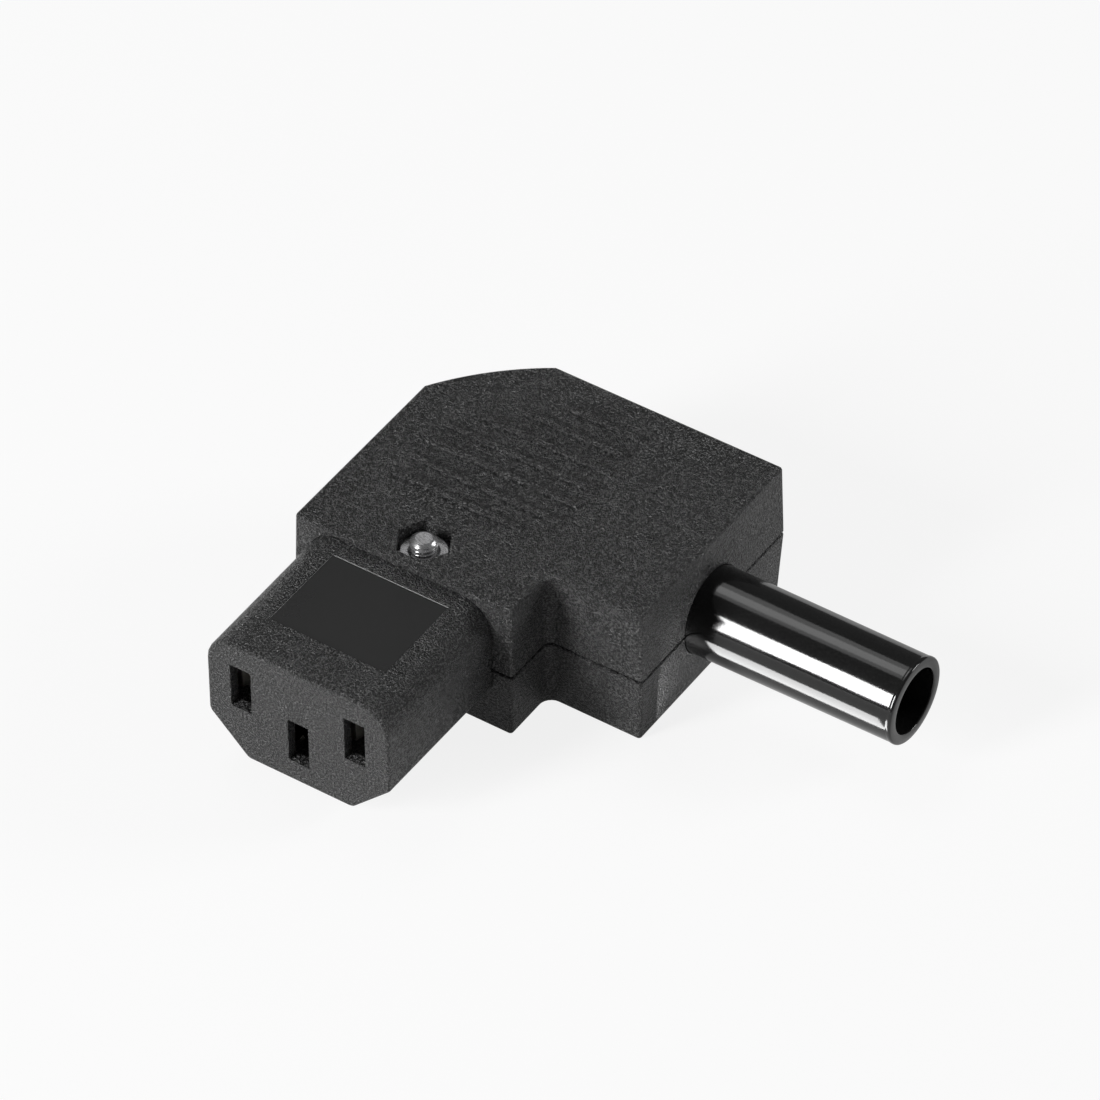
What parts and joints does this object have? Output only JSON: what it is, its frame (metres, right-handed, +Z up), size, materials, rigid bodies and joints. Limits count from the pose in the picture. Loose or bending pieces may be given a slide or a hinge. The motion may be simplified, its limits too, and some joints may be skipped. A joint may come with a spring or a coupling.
{
  "type": "right-angle power cord connector",
  "caption": "Rewireable right-angle mains connector of the C13 pattern: ribbed two-shell housing, slotted contact nose at the front and a tubular cord guard at the side.",
  "frame": {"origin": "on the mating face, midway between the line and neutral slots", "axes": "-Y is the way the nose plugs in, +X the way the cord leaves, +Z up from the underside to the ribbed top"},
  "size_m": [0.063, 0.0522, 0.0181],
  "materials": {
    "housing_plastic": "fine spark-eroded grain, black",
    "carrier_plastic": "fine spark-eroded grain, black, with one smooth panel",
    "guard_pvc": "glossy soft black",
    "clamp_plastic": "plain moulded, dark",
    "contact_metal": "tinned brass strip",
    "hardware": "bright zinc plate"
  },
  "bodies": {
    "root": {"upper_shell": "housing_plastic", "lower_shell": "housing_plastic", "contact_carrier": "carrier_plastic", "line_contact": "contact_metal", "neutral_contact": "contact_metal", "earth_contact": "contact_metal", "line_terminal_nut": "hardware", "neutral_terminal_nut": "hardware", "earth_terminal_nut": "hardware", "line_wire_clamp": "hardware", "neutral_wire_clamp": "hardware", "earth_wire_clamp": "hardware", "line_terminal_screw": "hardware", "neutral_terminal_screw": "hardware", "earth_terminal_screw": "hardware", "cord_clamp": "clamp_plastic", "front_clamp_screw": "hardware", "rear_clamp_screw": "hardware", "cord_guard": "guard_pvc", "assembly_screw": "hardware", "assembly_nut": "hardware"}
  },
  "joints": []
}
